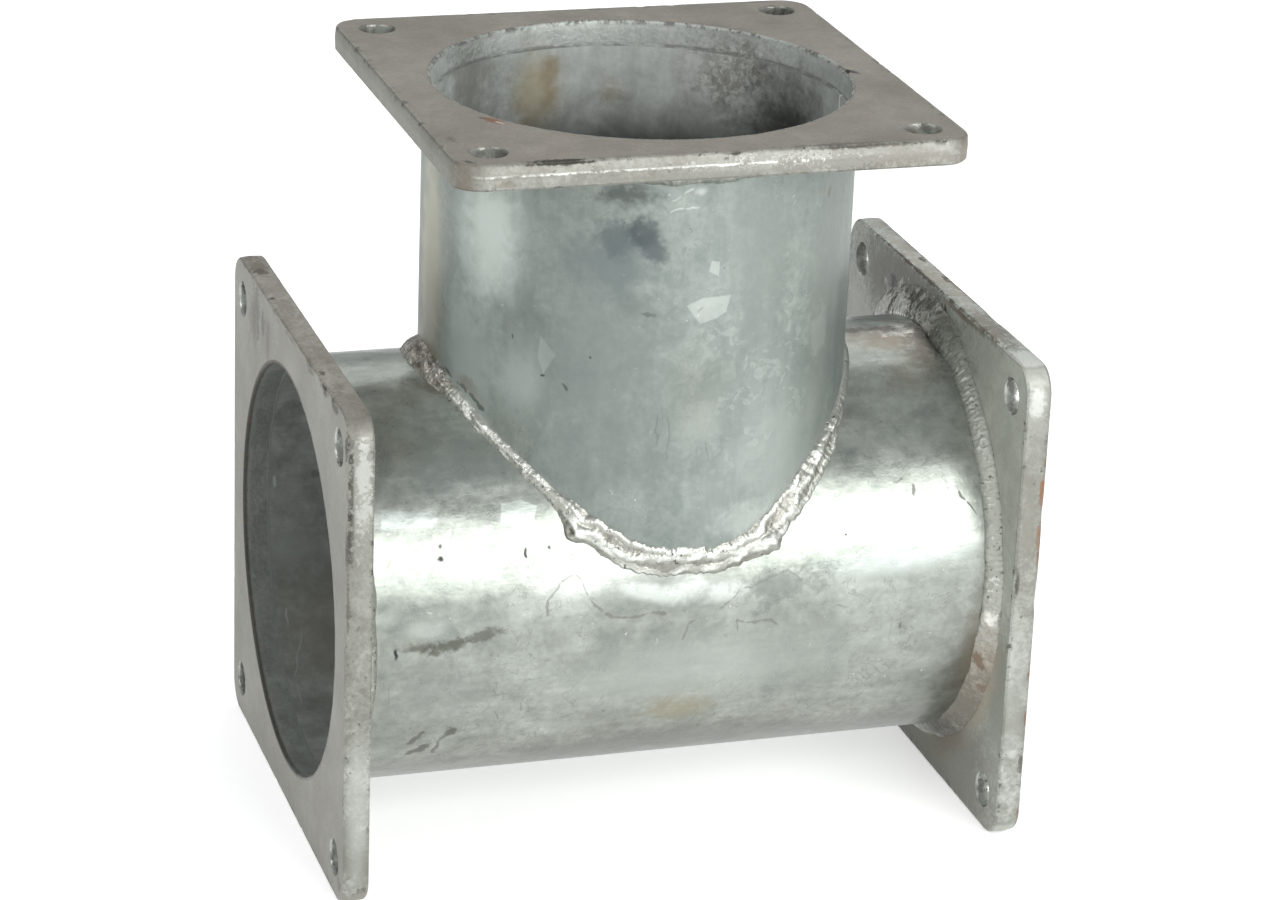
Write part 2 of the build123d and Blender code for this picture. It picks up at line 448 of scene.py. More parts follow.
def courseAt(degree):
    for first, last in zip(saddle["course"], saddle["course"][1:]):
        if degree <= last[0]:
            share = (degree - first[0]) / (last[0] - first[0])
            share = share * share * (3 - 2 * share)
            return [a + (b - a) * share for a, b in zip(first[1:], last[1:])]


def onRun(point, sink):
    ray = Vector((0, point.y, point.z - tee["axis"]))
    return Vector((point.x, 0, tee["axis"])) + ray.normalized() * (tee["pipe"] - sink)


def onBranch(point, sink):
    return Vector((*(point.xy.normalized() * (tee["pipe"] - sink)), point.z))


def makeSaddle():
    columns, rows, visible = saddle["columns"], saddle["rows"], saddle["rows"] - 4
    nudge, sink, back = saddle["nudge"], saddle["toeSink"], saddle["back"]
    sections, run = [], 0.0
    for i in range(columns + 1):
        angle = 2 * pi * i / columns
        root = saddleLine(angle)
        step = saddleLine(angle + nudge) - saddleLine(angle - nudge)
        run += step.length / (2 * nudge) * 2 * pi / columns
        sections.append({"degree": 360 * i / columns, "root": root, "along": step.normalized(), "run": run})
    for knob in saddle["knobs"]:
        knob["run"] = min(sections, key=lambda section: abs(section["degree"] - knob["angle"]))["run"]
    for section in sections:
        root, along, run = section["root"], section["along"], section["run"]
        runLeg, branchLeg, crown, strands, lumps = courseAt(section["degree"])
        spot = Vector((cos(radians(section["degree"])), sin(radians(section["degree"])), 0)) * 130
        knobs = [exp(-((run - knob["run"]) / knob["reach"]) ** 2) for knob in saddle["knobs"]]
        runLeg *= 1 + 0.14 * noise.noise(spot / 6) + 0.1 * noise.noise(spot / 2.2)
        branchLeg *= (1 + 0.14 * noise.noise(spot / 5 + Vector((9, 2, 4)))
                      + 0.1 * noise.noise(spot / 2 + Vector((1, 8, 3))))
        runLeg += sum(near * knob["wider"] for near, knob in zip(knobs, saddle["knobs"]))
        branchOut = Vector((root.x, root.y, 0)).normalized()
        runOut = Vector((0, root.y, root.z - tee["axis"])).normalized()
        section.update(crown=crown, strands=strands, lumps=lumps, knobs=knobs, spot=spot, branchOut=branchOut, runOut=runOut)
        section["out"] = (branchOut + runOut).normalized()
        section["branchToe"] = onBranch(root + branchOut.cross(along) * branchLeg, sink)
        section["runToe"] = onRun(root + along.cross(runOut) * runLeg, sink)
    bm = bmesh.new()
    crest = bm.verts.layers.float.new("crest")
    bmesh.ops.create_grid(bm, x_segments=columns, y_segments=rows, size=0.5)
    for vert in bm.verts:
        section, row = sections[round((vert.co.x + 0.5) * columns)], round((vert.co.y + 0.5) * rows)
        low, high, run, spot = section["runToe"], section["branchToe"], section["run"], section["spot"]
        if visible < row < rows:  # closed behind, inside the steel
            vert.co = (high - section["branchOut"] * back, section["root"] - section["out"] * back,
                       low - section["runOut"] * back)[row - visible - 1]
            continue
        across = (row % rows) / visible
        arch = 4 * across * (1 - across)
        strand = 0
        for j in range(3):  # thin strands that wander and now and then meet
            middle = 0.2 + 0.31 * j + 0.13 * sin(run / 12 + 2.1 * j) + 0.2 * noise.noise(Vector((run / 8, 9 * j, 2)))
            swell = 0.85 + 0.45 * noise.noise(Vector((run / 6, 7 * j, 5)))
            strand = max(strand, (1 - ((across - middle) / 0.18) ** 2) * swell)
        bead = arch + section["strands"] * (0.5 * strand * arch ** 0.3 - arch * 0.35)
        wave = sin(2 * pi * run / saddle["pitch"] + 7 * (across - 0.5) ** 2 + 6 * noise.noise(spot / 5))
        point = low.lerp(high, across)
        lump = 0.6 * noise.noise(Vector((run / 6.5, across * 3.1, 4)))
        lump = lump + 0.25 * noise.noise(point / 3.4) + 0.3 * noise.noise(point / 1.5)
        rise = section["crown"] * bead + arch ** 0.5 * (0.07 * wave + 0.95 * section["lumps"] * lump)
        level = strand * section["strands"] + (1 - section["strands"]) * (0.55 + 0.12 * wave)
        for near, knob in zip(section["knobs"], saddle["knobs"]):
            dome = near * max(0, 1 - ((across - knob["across"]) / 0.34) ** 2)
            dent = exp(-((run - knob["run"] + 1.2) / 1.3) ** 2 - ((across - knob["across"]) / 0.1) ** 2) * knob["pit"]
            rise += dome * knob["high"] - dent
            level += 0.3 * dome - 0.7 * dent
        vert.co = point + section["out"] * rise
        # painted light and shade for the bead's colour: lighter on strands, knobs and lumps, darker in the knobs' pits
        # and towards the toes
        vert[crest] = level * min(1, arch * 3 + 0.2) + 0.5 * section["lumps"] * lump
    return makePiece("saddleBead", bm, "saddle_weld", 0)


saddleBead = makeSaddle()
print("saddle weld made")

# Zinc on the two pipes: places and sizes in millimetres on the unrolled pipe
branchLook = {
    "zinc": [(0.28, (108, 118, 115)), (0.46, (134, 142, 137)), (0.6, (152, 159, 153)), (0.76, (176, 182, 176))],
    "contrast": 1.25, "metal": 0.5, "gloss": 0.3, "depth": 0.8, "crud": (2, 208), "ledge": (60, 61, 57),
    "flakes": mark(25, 200, 58, 66, (190, 196, 189), 0.3, soft=0.7),
    "innerTone": 178,
}
branchLook["marks"] = [
    mark(-40, 210, 36, 95, (126, 134, 130), 0.6, soft=0.8),
    # painted light: a lighter band down the left side of the branch
    mark(-86, 250, 23, 42, (206, 214, 207), 0.8, soft=0.8),
    # painted light with a teal tint, low on the left of the branch
    mark(-96, 198, 26, 38, (196, 207, 202), 0.8, soft=0.8),
    mark(25, 240, 24, 60, (136, 143, 137), 0.65, soft=0.8),
    mark(-2, 194, 30, 42, (122, 128, 122), 0.65, soft=0.9),
    mark(64, 225, 20, 80, (140, 146, 140), soft=0.8),
    # painted highlight: lighter patches on the branch just above the bead
    mark(40, 164, 38, 44, (204, 211, 203), 0.36, 1, 1),
    mark(23, 141, 18, 10, (216, 222, 214), 0.32, 1, 0.9),
    # painted light with a teal tint, low on the left of the branch
    mark(-72, 196, 17, 24, (204, 213, 209), 0.55, soft=0.9),
    mark(-26, 181, 17, 15, (120, 127, 122), 0.4, soft=0.9),
    mark(-128, 225, 18, 80, (190, 187, 170), 0.75, soft=0.7),
    mark(-34, 246, 24, 22, (108, 118, 117), 0.7, 0.6, 0.9),
    mark(-33, 256, 11, 10, (92, 102, 102), 0.75, 0.8, 0.7, turn=-20),
    mark(-24, 260, 9, 7, (72, 81, 82), 0.85, 0.9, 0.7, turn=-30),
    mark(-18.5, 252, 6, 9, (82, 90, 91), 0.75, 0.9, 0.7, turn=25),
    mark(-30, 273, 18, 6, (78, 83, 80), 0.8, 0.8, 0.8),
    mark(-24, 229, 11, 9, (114, 121, 117), 0.6, 0.8, 0.9),
    mark(-20.6, 226.6, 3, 1.4, (92, 98, 94), 0.7, 1),
    mark(60, 209, 9, 14, (176, 182, 175), 0.5, 1.2),
    mark(2, 182, 14, 12, (168, 174, 166), 0.4, 1.2),
    mark(-59.6, 198.4, 1.4, 0.8, (64, 68, 64), 0.9),
    mark(-50.6, 196.3, 2.4, 0.6, (74, 78, 74), 0.8, turn=-45),
    mark(-73, 211.7, 0.7, 1.3, (74, 78, 74), 0.8),
    mark(-41.3, 208.2, 1.3, 0.6, (74, 78, 74), 0.8, turn=-40),
    mark(-15.2, 181, 0.5, 9, (104, 108, 102), 0.5, 0.6),
    mark(-10.8, 178, 0.45, 13, (108, 112, 106), 0.5, 0.6),
    mark(-12.9, 186, 0.35, 6, (110, 114, 108), 0.4, 0.6),
    mark(4.4, 171, 0.6, 6, (104, 108, 103), 0.5, 0.7),
    *trail([(-14, 267), (-8, 268.4), (-2, 267.6)], 0.5, (214, 218, 212), 0.45, 2),
    *trail([(-13, 271), (-9, 273.4), (-5, 276)], 0.5, (206, 210, 204), 0.4, 2),
    *trail([(-112, 188.5), (-104, 186.5), (-94, 183), (-86, 178.5)], 1.2, (66, 63, 57), 0.65, 2),
    mark(-128, 190, 14, 7, (140, 132, 118), 0.65, 0.9, 0.8),
    mark(-96, 186, 12, 4, (150, 144, 132), 0.55, 1.2, 0.8, turn=-18),
    mark(-2, 275, 3, 2.4, (206, 210, 204), 0.5, 0.9, 0.9),
    mark(62, 264, 1.2, 2.5, (120, 112, 96), 0.6, 0.9),
    mark(5, 278, 9, 1.1, (76, 78, 72), 0.8, 0.7),
]
branchLook["crystals"] = [
    (((-5.7, 229.9), (-0.3, 222.5), (6.4, 224.3), (10, 226.4), (11.7, 232.9), (0.4, 232.7)), (176, 182, 176), 0.85),
    (((2.3, 243), (6.4, 240.9), (6.5, 246.4), (3.3, 247.1)), (174, 180, 174), 0.8),
    (((-61.9, 205.6), (-59.6, 199.2), (-54.6, 207.7), (-61.3, 214.1)), (168, 176, 170), 0.75),
    (((9.3, 198.1), (15.6, 199.3), (14.8, 206.2), (8.9, 207.4)), (166, 173, 166), 0.5),
]
branchLook["inner"] = [
    mark(-244, 264, 16, 28, (166, 153, 120), 0.65, soft=0.8),
    mark(-250, 272, 7, 14, (142, 122, 90), 0.55, 0.6, 0.8),
    mark(251, 264, 6, 8, (140, 128, 104), 0.5, 0.8, 0.9),
    mark(196, 276, 34, 26, "crud", 0.6, 0.7, 0.9),
    mark(-206, 272, 28, 32, (112, 115, 107), 0.7, 0.6, 0.9),
    # painted shadow on the dark right side of the bore
    mark(168, 256, 40, 38, (46, 46, 42), 0.94, 0.35, 0.9),
    # painted highlight: a bright line high on the right of the bore
    mark(127, 280, 1.2, 7, (250, 252, 248), 0.9),
]
runLook = {
    "zinc": [(0.28, (118, 124, 118)), (0.46, (146, 151, 144)), (0.6, (165, 170, 163)), (0.76, (192, 197, 190))],
    "contrast": 1.4, "metal": 0.7, "gloss": 0.14, "depth": 1, "crud": (4, 208), "ledge": (126, 131, 127),
    "innerTone": 140,
}
runLook["marks"] = [
    # painted shade with a warm tint along the run's underside
    mark(0, -78, 170, 44, (100, 100, 92), 0.75, 0.3, 0.9),
    mark(10, -20, 75, 22, (176, 183, 177), 0.5, 0.4, 0.9),
    mark(-96, -26, 32, 24, (132, 136, 130), 0.45, soft=0.9),
    # painted highlight: lighter strips that carry the lamp's reflection lower under the band
    mark(-43, 20, 22, 9, (222, 226, 222), 0.55, 1.1, 0.8),
    mark(4, 15, 17, 7, (222, 226, 222), 0.55, 1.1, 0.8),
    mark(-15, 14.5, 19, 5.5, (220, 226, 221), 0.55, soft=0.7, turn=-14),
    mark(17, 12.5, 13, 5.5, (220, 226, 221), 0.55, soft=0.7, turn=8),
    mark(88, 18.5, 42, 8, (204, 212, 208), 0.55, soft=0.9, turn=5),
    mark(-109, 0.2, 8, 3.2, (112, 112, 100), 0.6, 1.9, 0.7),
    # painted shade beside the right ring, partly a brown stain
    mark(122, -36, 15, 52, (104, 96, 84), 0.65, 0.3, 0.95),
    mark(-107, -0.2, 10, 1.8, (100, 103, 96), 0.8, 0.8, 0.8, turn=2),
    mark(-100, -9, 16, 6, (136, 138, 130), 0.5, 1, 0.9),
    mark(-94, 0.2, 10, 3.4, (86, 89, 80), 0.85, 1.8, 0.7, turn=12, dull=0.15),
    mark(-83, 3, 11, 2.4, (98, 100, 92), 0.8, 1.8, 0.7, turn=8),
    mark(-103, 6.6, 9, 4.5, (196, 202, 196), 0.35, 1.3, 0.7),
    mark(-115.2, -1.9, 0.9, 3, (40, 42, 40), 0.95, 0.4),
    *trail([(-56.7, 8.5), (-54.8, 14.9), (-50, 20.9), (-45, 23.9), (-41.5, 21.4), (-39.8, 14.4), (-33, 8.4),
            (-30.2, 5.1), (-23.9, 5.5), (-15.6, 5.5), (-8.2, 5.5)], 0.8, (104, 104, 96), 0.55, 1.3),
    *trail([(-0.9, -7.1), (-0.2, 0), (3.1, 1)], 0.6, (108, 110, 103), 0.5, 1),
    *trail([(20.9, -5.2), (19.9, 0.7), (23, -1.4), (29.8, -1.4), (37.5, -3.3)], 0.7, (108, 110, 103), 0.5, 1.1),
    *trail([(12.7, 4.8), (17.6, 8.5), (21, 12.9), (26.9, 13.5), (32.7, 15.5), (40.4, 19.4), (47.1, 14.6)],
           0.7, (108, 112, 105), 0.5, 1.2),
    *trail([(-69.6, 19.3), (-67, 22.3), (-64.7, 20.2)], 0.5, (128, 130, 123), 0.6, 0.7),
    *trail([(-106.5, -49), (-101.8, -41.8)], 1.4, (88, 90, 84), 0.7, 1.2),
    *trail([(-108, -60), (-94.8, -47.5), (-89.5, -42.1)], 3.4, (80, 82, 75), 0.75, 1.6),
    *trail([(-94.7, -57.9), (-94.2, -46.7)], 1.5, (88, 90, 84), 0.7, 1.2),
    *trail([(48.4, -37.7), (50.1, -44.6)], 0.5, (126, 128, 122), 0.5, 0.9),
    *trail([(54, -56), (61, -57.5)], 1, (122, 124, 117), 0.5, 1.3),
    *trail([(-75, -24.2), (-70, -24.1)], 0.8, (126, 128, 122), 0.55, 1.2),
    *trail([(-73.6, -33.1), (-72.4, -38.1)], 0.5, (120, 122, 115), 0.6, 0.8),
    *trail([(-117.5, -13.4), (-116, -29.7)], 0.4, (130, 132, 126), 0.5, 0.7),
    *trail([(-117.9, 31.2), (-114.3, 35.6)], 0.7, (134, 130, 120), 0.7, 0.9),
    *trail([(94.3, 48.3), (94.9, 43.4)], 1.1, (60, 60, 56), 0.7, 0.9),
    *trail([(87, 49), (91, 49.5)], 0.5, (90, 90, 84), 0.5, 1.2),
    *trail([(112.4, 43.8), (116, 39.6), (119.9, 33.5)], 0.6, (44, 41, 36), 0.75, 0.8),
    mark(-34.4, -40.6, 2.2, 1.4, (136, 138, 131), 0.6, 1.2),
    mark(0, -41.5, 20, 12, (150, 140, 112), 0.6, 0.7, 0.9),
    mark(-96.4, 34.1, 1.8, 1.7, (24, 26, 24), 0.97, 1.2),
    mark(-96, 38.8, 1.4, 1.3, (50, 52, 50), 0.9, 1.3),
    mark(-63.8, 33.5, 0.9, 2.2, (34, 36, 32), 0.95, 0.7),
    mark(-54, 35.4, 0.7, 1, (44, 44, 40), 0.9),
    mark(64.8, 30.4, 0.8, 0.7, (36, 38, 36), 0.9),
    mark(35, 13, 26, 9, (112, 118, 113), 0.5, 1.7),
    mark(88.4, -8.5, 0.8, 1.9, (108, 112, 106), 0.8),
    mark(-82, 72, 28, 16, (150, 159, 155), 0.6, 0.7, 0.8),
    mark(104, 123, 28, 17, (132, 121, 106), 0.85, 0.8, 0.9),
    mark(116, 110, 11, 22, (96, 87, 75), 0.8, 0.8, 0.9),
    mark(110, 129, 17, 7, "crud", 0.95, 1.3, 0.4),
    mark(120, 118, 4, 18, (64, 60, 53), 0.75, 1.3, 0.7),
    mark(98, 132, 18, 4, (70, 64, 54), 0.7, 1.6, 0.7),
    mark(-84, 107, 16, 5, (128, 121, 109), 0.6, 1.2, 0.8, turn=-35),
    mark(120, -26, 6, 34, (140, 131, 117), 0.6, 0.6, 0.9),
    mark(105, 96, 14, 16, (140, 134, 120), 0.45, 0.6, 0.9),
]
runLook["crystals"] = [
    (((-72, 45), (-60, 43), (-57, 51), (-63, 54), (-71, 53)), (196, 203, 197), 0.6),
    (((-118.4, 46.7), (-98.7, 46.2), (-96, 49), (-99, 51.8), (-117.5, 54.2)), (188, 196, 193), 0.4),
]
runLook["inner"] = [
    mark(-100, -200, 60, 60, (124, 118, 107), 0.5, soft=0.9),
    *trail([(-125.6, 262), (-126, 256)], 0.8, (190, 196, 192), 0.6, 1),
    *trail([(-123.3, -214), (-123, -206)], 0.6, (176, 182, 178), 0.5, 1),
    *trail([(-118, -205), (-124.6, -178.7), (-124.1, -166.7)], 0.5, (168, 172, 166), 0.45, 1),
    mark(-108, 256, 2, 2, (84, 86, 84), 0.4, 1.4),
    mark(-120, -240, 14, 10, (160, 166, 162), 0.35, 1, 0.9),
    mark(-122, 225, 12, 16, (96, 100, 97), 0.5, 0.8, 0.9),
]


def makePipeFinish(name, look, standing):
    zinc = Finish(name)
    spot = zinc.millimetres()
    x, y, z = zinc.split(spot)
    first, second = (x, y) if standing else (y, z - tee["axis"])
    outside = zinc.between(zinc.length(first, second), *tee["skin"])
    flat = zinc.join(zinc.unroll(x, y), z) if standing else zinc.join(x, zinc.unroll(second, y))
    big = zinc.cloud(spot, 46, 3, 0.5)
    mid = zinc.cloud(spot, 11, 4, 0.62, 0.4)
    grit = zinc.cloud(spot, 3.2, 5, 0.72)
    fine = zinc.cloud(spot, 1.9, 2, 0.6)
    drawn = zinc.cloud(zinc.stretch(spot, (1, 1, 0.16) if standing else (0.16, 1, 1)), 6.5, 4, 0.6)
    warped = zinc.node("ShaderNodeVectorMath", {"operation": "ADD"}, {0: spot, 1: zinc.jitter(spot, 8.3, 9)})
    light = 0.26 * big + 0.28 * mid + 0.2 * drawn + 0.22 * grit + 0.04 * zinc.cells(warped, 8.5)
    light = (light - 0.5) * look["contrast"] + 0.5
    zinc.colour = zinc.ramp(light, *look["zinc"])
    zinc.ragged = (mid - 0.5) * 1.6 + (grit - 0.5) * 0.9
    zinc.gloss = look["gloss"] + 0.24 * mid + 0.1 * big
    for corners, shade, power in look["crystals"]:
        zinc.coat(zinc.patch(flat, corners, power) * outside, shade)
    runs = zinc.cloud(zinc.stretch(spot, turn=25), 15, 4, 0.6, 0.8)  # thin edges of zinc that ran and set
    runs = zinc.between(abs(runs - 0.54), 0.012, 0.003) * zinc.between(big + (mid - 0.5) * 0.6, 0.5, 0.58)
    zinc.coat(runs * outside * 0.45, (120, 124, 118))
    specks = zinc.between(zinc.cloud(spot, 3.4, 2, 0.7), 0.735, 0.77)
    zinc.coat(specks * outside * 0.6, (92, 96, 92))
    glints = zinc.between(zinc.cloud(zinc.stretch(spot, turn=40), 2.9, 2, 0.7), 0.72, 0.76)
    zinc.coat(glints * outside * 0.5, (216, 220, 214))
    if standing:  # small light scales
        scales = zinc.between(zinc.cells(warped, 2.6), 0.6, 0.7) * zinc.between(mid, 0.46, 0.56)
        scales = scales * zinc.spot(flat, look["flakes"])
        zinc.coat(scales * outside, look["flakes"]["tone"])
    zinc.crud = zinc.flaky(spot, *look["crud"])
    flat = zinc.node("ShaderNodeVectorMath", {"operation": "MULTIPLY_ADD"}, {
        0: zinc.jitter(spot, 6.7, 4), 1: (1, 1, 0), 2: flat})  # marks waver a little
    zinc.stains(flat, look["marks"], outside)
    outer, hollow, deep = zinc.colour, 1 - outside, look["innerTone"]
    zinc.colour = zinc.mottle(light, (deep, deep + 4, deep - 1), 0.2, 27)
    zinc.stains(flat, look["inner"], 1)
    if standing:  # painted shadow, darker down the bore
        zinc.coat(zinc.between(z + (mid - 0.5) * 10, 270, 240, 0, 0.88), (44, 46, 42))
    zinc.colour = zinc.blend(hollow, outer, zinc.colour)
    if standing:  # the pipe's end, inside the plate
        ledge = zinc.between(z - tee["branchEnd"], -0.6, -0.2) * zinc.between(mid, 0.4, 0.6) * 0.5
    else:
        ledge = zinc.between(abs(x) - tee["runEnd"], -0.7, -0.2) * 0.8
    zinc.coat(ledge, look["ledge"])
    metal = zinc.between(outside, 0, 1, 0.3, look["metal"])
    smooth = zinc.cloud(spot, 15, 1.5, 0.4)
    height = 0.62 * smooth + 0.14 * mid + 0.1 * drawn + 0.05 * grit + 0.02 * fine
    return zinc.wear(metal, zinc.gloss + 0.16 * hollow, height, look["depth"])


# Flaky crust at the top of the right plate and on the bead behind it
crust = [
    mark(42, 181, 22, 10, "crud", 0.9, 1, 0.4, turn=-20),
    mark(5, 190, 24, 8, "crud", 0.7, 1.2, 0.5),
    mark(46, 177, 13, 4.4, (240, 238, 230), 0.9, 1, 0.25, turn=-24),
    mark(24, 184, 11, 5, (240, 238, 230), 0.9, 1.1, 0.25, turn=-12),
    mark(-4, 187, 9, 3.4, (226, 223, 214), 0.85, 1.3, 0.25, turn=10),
    mark(34, 180, 2, 5, (44, 42, 37), 0.9, 1.3, 0.3, turn=10),
]

# Dull zinc on the plates, with marks on the face that is seen, on the near edge and on the upper edge
plateLook = {
    "left": {"base": (145, 143, 135), "bore": 136, "metal": 0.42, "crud": (3.6, 246)},
    "right": {"base": (184, 187, 178), "bore": 110, "metal": 0.25, "crud": (3.6, 246)},
    "branch": {"base": (133, 127, 117), "bore": 182, "metal": 0.42, "crud": (2, 208)},
}
plateLook["left"]["tops"] = [
    mark(0, 5, 150, 30, (142, 132, 120), 0.6, 0.3, 0.3),
    mark(78, 5, 13, 5, (104, 98, 86), 0.7, 1.4, 0.7),
    mark(70, 6, 4, 3, (74, 69, 60), 0.75, 1.4),
    mark(38, 8, 2, 1.5, (56, 53, 47), 0.9, 0.8),
    mark(24, 5, 14, 4, (132, 126, 114), 0.6, 1.5),
    mark(-48, 8, 4, 1.6, (72, 68, 60), 0.8, 1),
    mark(-66, 6, 10, 3, (120, 117, 108), 0.5, 1.4),
]
plateLook["left"]["edges"] = [
    mark(178, 5, 16, 4, (206, 208, 202), 0.35, 2.6, 0.5),
    mark(168, 8.6, 30, 1.4, (66, 62, 55), 0.75, 2),
    mark(185, 9.2, 3, 1.4, (58, 55, 48), 0.85, 1.2),
    mark(175, 9.4, 4, 1.2, (70, 66, 58), 0.8, 1.3),
    mark(162, 9.2, 3, 1.3, (62, 58, 52), 0.85, 1.2),
    mark(153, 9.4, 5, 1.1, (78, 74, 66), 0.8, 1.3),
    mark(128, 9.5, 14, 0.9, (96, 92, 84), 0.6, 1.4),
    mark(186, 1.6, 2.4, 1.6, (70, 66, 60), 0.8, 1.2),
    mark(172, 5, 26, 5, (204, 206, 200), 0.35, 2.2, 0.8),
    mark(40, 5, 45, 6, (184, 188, 182), 0.5, 0.6, 0.9),
    mark(6, 3, 5, 4, (96, 88, 76), 0.6, 1.3),
]
plateLook["left"]["marks"] = [
    mark(62, 184, 11, 19, (100, 96, 88), 0.75, 1, 0.9),
    mark(46, 187, 3.6, 8, (84, 82, 75), 0.8, 1.2),
    mark(37, 182, 2.6, 8, (96, 94, 87), 0.75, 1.2),
    mark(-4, 186, 20, 8, (170, 167, 158), 0.4, 1, 0.9),
    mark(40, 181, 18, 15, (118, 115, 107), 0.5, 0.9, 0.9),
    mark(28, 199, 6, 1.6, (78, 75, 67), 0.8, 1.2),
    mark(-4, 198, 10, 1.6, (96, 92, 84), 0.6, 1.5),
    mark(57, 191, 5, 10, (104, 103, 97), 0.75, 1.3),
    mark(55, 180, 3, 6, (98, 97, 91), 0.7, 1.3),
    mark(37, 187, 4, 5, (110, 108, 102), 0.6, 1.4),
    mark(-38, 197, 6, 2, (92, 90, 82), 0.7, 1.3),
    mark(-61, 198, 8, 3, (56, 54, 48), 0.9, 1.2),
    mark(-77, 197, 8, 3, (66, 62, 54), 0.85, 1.2),
    mark(-96, 188, 3, 8, (56, 54, 48), 0.9, 1.2),
    mark(-98, 150, 1.8, 12, (70, 66, 60), 0.8, 1.4),
    mark(-98, 100, 1.4, 22, (104, 102, 96), 0.6, 1.4),
    mark(-93, 8, 5, 6, (96, 92, 86), 0.6, 1.4),
]
plateLook["right"]["tops"] = [
    mark(20, 5, 75, 4, (186, 179, 165), 0.6, 1.7),
    mark(-55, 4, 30, 4, (122, 116, 104), 0.5, 1.6),
    mark(20, 0.7, 52, 1, (84, 70, 54), 0.85, 1.5),
    mark(-45, 0.8, 30, 1, (104, 92, 76), 0.75, 1.8),
    mark(0, 9.2, 64, 1.1, (118, 100, 74), 0.75, 1.9),
    mark(34, 7, 4, 2, (70, 62, 50), 0.8, 1.2),
    mark(10, 8, 5, 2, (82, 72, 58), 0.8, 1.2),
]
plateLook["right"]["edges"] = [
    mark(112, 1.4, 6, 1.1, (56, 53, 47), 0.85, 0.8),
    mark(150, 8.8, 8, 1.5, (136, 92, 56), 0.8, 0.9),
    mark(131, 8.9, 7, 1.4, (140, 96, 60), 0.8, 0.9),
    # painted highlight on the near edge's top corner
    mark(186, 4, 9, 5, (220, 222, 216), 0.7, 1),
    mark(60, 4, 40, 6, (164, 166, 159), 0.5, 0.8, 0.9),
    mark(33, 8.8, 6, 1.6, (82, 78, 70), 0.7, 1.2),
    mark(135, 4, 30, 5, (134, 132, 123), 0.6, 1.3),
]
plateLook["right"]["marks"] = [
    mark(-36, 16, 92, 50, (122, 120, 112), 0.85, 0.4),
    mark(-93, 60, 18, 46, (148, 150, 141), 0.75, 0.4, 0.7),
    mark(30, 184, 80, 27, (104, 101, 93), 0.85, turn=4),
    mark(-2, 194, 10, 9, (84, 86, 72), 0.7, 0.9, 0.8),
    mark(-74, 48, 32, 10, (186, 176, 158), 0.75, 0.7, 0.9, turn=-52),
    # painted shadow under the run pipe, partly a brown stain
    mark(-44, 20, 28, 10, (120, 108, 92), 0.8, 0.7, 0.8, turn=-30),
    *crust,
    mark(-30, 198, 40, 2, (120, 100, 76), 0.7, 1),
    mark(46, 186, 4, 4, (52, 50, 45), 0.9, 1.5, 0.3),
    mark(12, 190, 3, 3, (50, 48, 43), 0.9, 1.5, 0.3),
    mark(-8, 192, 5, 4, (62, 60, 54), 0.85, 1.5, 0.3),
    mark(-18, 188, 4, 3, (70, 66, 60), 0.8, 1.5, 0.3),
    mark(-84, 68, 9, 20, (190, 180, 164), 0.7, 0.7, 0.9, turn=20),
    mark(-80, 80, 2, 5, (106, 88, 68), 0.7, 1.1),
    # painted shadow under the run pipe
    mark(-45, 33, 12, 7, (92, 86, 76), 0.7, 0.6, 0.8),
]
plateLook["branch"]["edges"] = [
    mark(-60, 9.3, 15, 1, (48, 45, 38), 0.9, 1),
    mark(5, 9.4, 3, 1, (66, 62, 54), 0.8, 0.9),
    mark(52, 5, 46, 4, (226, 227, 221), 0.5, 2.4, 0.5),
    mark(58, 4, 40, 5, (96, 93, 84), 0.6, 2.6, 0.4),
    mark(60, 9.3, 32, 1, (86, 82, 74), 0.75, 1.5),
    mark(-82, 2.4, 5, 1.8, (116, 106, 90), 0.5, 1.2),
    mark(-10, 1.6, 96, 2.4, (134, 134, 126), 0.6, 0.8, 0.9),
    mark(75, 4, 24, 5, (150, 144, 134), 0.5, 1.3),
]
plateLook["branch"]["marks"] = [
    mark(-72, -46.2, 6.5, 3, (122, 72, 42), 0.9, 1.3, turn=-57),
    mark(-70, -49, 3, 1, (202, 194, 182), 0.7, 1.3, turn=-57),
    mark(78, 8, 1.2, 8, (196, 197, 190), 0.4, 1, turn=5),
    mark(-75, -42, 2, 2, (82, 62, 46), 0.8, 1.2),
    mark(-60, -98, 15, 2, (46, 44, 36), 0.9, 1.2),
    mark(83.4, -6.5, 2, 5, (36, 34, 30), 0.95, turn=35),
    mark(52, 61, 16, 6, (112, 108, 100), 0.6, 1.3, turn=-45),
    mark(-93, -66, 2, 5, (92, 88, 80), 0.7, 1.2),
    mark(-94, -94, 4, 2, (62, 58, 50), 0.8, 1.2, turn=-40),
    mark(44, -97, 22, 1.8, (84, 80, 72), 0.7, 1.5),
]

# Where the parts of a plate end: heights from its back, then reaches from its middle, then from a hole's middle
zones = {"face": (8.6, 9.4), "back": (1.4, 0.6), "wall": (97.9, 99.2), "near": (-98.4, -99.2), "top": (98.4, 99.2),
         "bore": (82.3, 81.5), "hole": (7.7, 7.1)}


